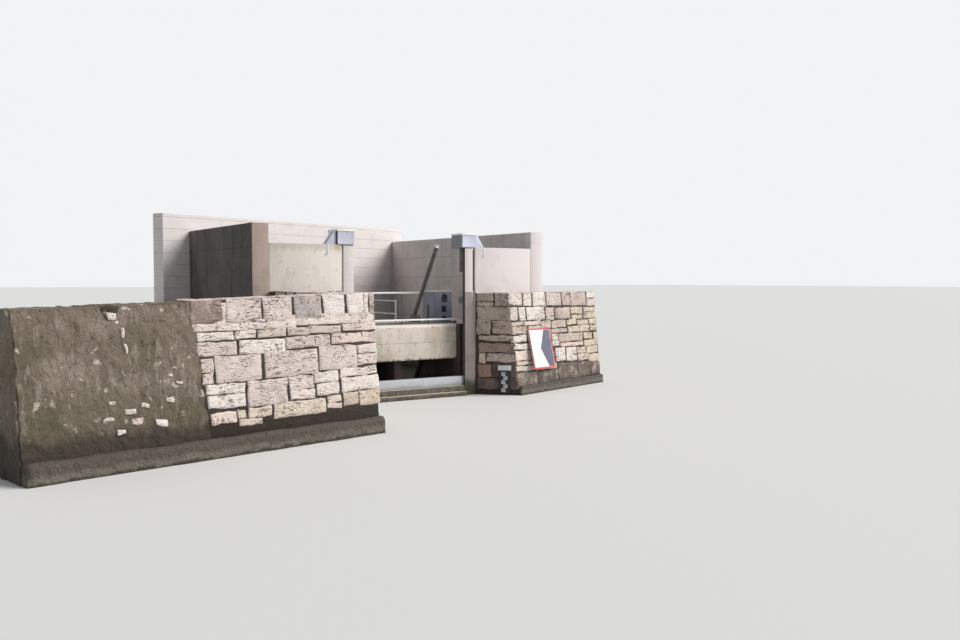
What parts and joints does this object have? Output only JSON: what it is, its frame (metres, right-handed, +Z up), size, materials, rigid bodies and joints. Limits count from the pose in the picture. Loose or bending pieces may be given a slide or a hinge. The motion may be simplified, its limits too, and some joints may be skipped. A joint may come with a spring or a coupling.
{
  "type": "sluice gate",
  "caption": "Lakeside sluice gate: a weir leaf in a concrete chamber between battered stone abutments, with stem hoists and a rack hoist.",
  "frame": {"origin": "middle of the gate opening, in the front plane of the guide posts, on the underside of the sill at the foot of the walls", "axes": "+X along the gate to the right bank, +Y into the chamber away from the lake, +Z up"},
  "size_m": [16.498, 14.0404, 4.74],
  "materials": {
    "concrete_wet": "damp grey concrete with algae",
    "concrete_grey": "weathered grey concrete with board marks",
    "concrete_pale": "pale smooth concrete",
    "concrete_stained": "beige concrete with brown and green stains",
    "guide_steel": "weathered grey paint",
    "leaf_steel": "pale blue-grey paint, dirty at the waterline",
    "stem_steel": "greased dark steel",
    "hood_sheet": "pale blue-grey sheet metal",
    "dark_steel": "dark brown-grey paint with rust",
    "white_paint": "white gloss paint",
    "galvanised": "dull galvanised steel",
    "cabinet_paint": "matt blue-grey paint",
    "black_plastic": "matt black",
    "limestone": "pale pink-cream squared limestone with dark joints",
    "render_coat": "rough grey-brown render",
    "wet_stone": "wet rounded concrete toe with algae",
    "sign_white": "white sheet with a red edge",
    "gauge_black": "black enamel with white graduations",
    "gauge_cap_paint": "pale grey paint"
  },
  "bodies": {
    "structure": {"sill": "concrete_wet", "left_pier": "concrete_grey", "right_pier": "concrete_grey", "breast_wall": "concrete_stained", "operating_deck": "concrete_grey", "deck_headwall": "concrete_wet", "bay_divider": "concrete_wet", "basin_floor": "concrete_wet", "left_front_parapet": "concrete_pale", "right_front_parapet": "concrete_pale", "left_side_wall": "concrete_grey", "right_side_wall": "concrete_grey", "back_wall": "concrete_grey", "left_guide_channel": "guide_steel", "right_guide_channel": "guide_steel", "left_lift_stem": "stem_steel", "right_lift_stem": "stem_steel", "left_hoist_base": "guide_steel", "right_hoist_base": "guide_steel", "left_hoist_hood": "hood_sheet", "right_hoist_hood": "hood_sheet", "left_hood_wing": "hood_sheet", "right_hood_wing": "hood_sheet", "left_hood_strap": "guide_steel", "right_hood_strap": "guide_steel", "left_stem_guard": "dark_steel", "right_stem_guard": "dark_steel", "hoist_frame": "dark_steel", "inclined_guides": "dark_steel", "toe_rail": "white_paint", "guard_rail": "white_paint", "side_rail": "galvanised", "cabinet_body": "cabinet_paint", "cabinet_rod": "black_plastic", "junction_box": "cabinet_paint", "right_abutment": "limestone", "right_abutment_toe": "wet_stone", "left_wing_stone": "limestone", "left_wing_render": "render_coat", "left_return_wall": "limestone", "left_wing_toe": "wet_stone", "sign_board": "sign_white", "sign_brackets": "galvanised", "staff_gauge": "gauge_black", "gauge_cap": "gauge_cap_paint"},
    "weir_leaf": {"weir_leaf_skin": "leaf_steel", "weir_leaf_frame": "leaf_steel"},
    "rack_and_leaf": {"hoist_rack": "dark_steel", "rack_cap": "white_paint", "inclined_leaf": "dark_steel"},
    "pinion": {"hoist_pinion": "guide_steel"},
    "door": {"cabinet_door": "cabinet_paint", "cabinet_handle": "black_plastic"}
  },
  "joints": [
    {"name": "weir_leaf_lift", "type": "slide", "parent": "structure", "child": "weir_leaf", "axis": [0, 0, 1], "range_m": [0, 0.7]},
    {"name": "rack_slide", "type": "slide", "parent": "structure", "child": "rack_and_leaf", "axis": [0, -0.5446, 0.8387], "range_m": [-0.9, 0]},
    {"name": "pinion_spin", "type": "hinge", "parent": "structure", "child": "pinion", "pos_m": [0.8525, 1.24687, 1.978], "axis": [1, 0, 0], "range_deg": [-660, 15]},
    {"name": "cabinet_door_hinge", "type": "hinge", "parent": "structure", "child": "door", "pos_m": [1.4965, 1.386, 1.95], "axis": [0, 0, -1], "range_deg": [0, 110]}
  ],
  "couplings": [
    {"joint": "pinion_spin", "follows": "rack_slide", "rad_per_m": 12.5}
  ]
}
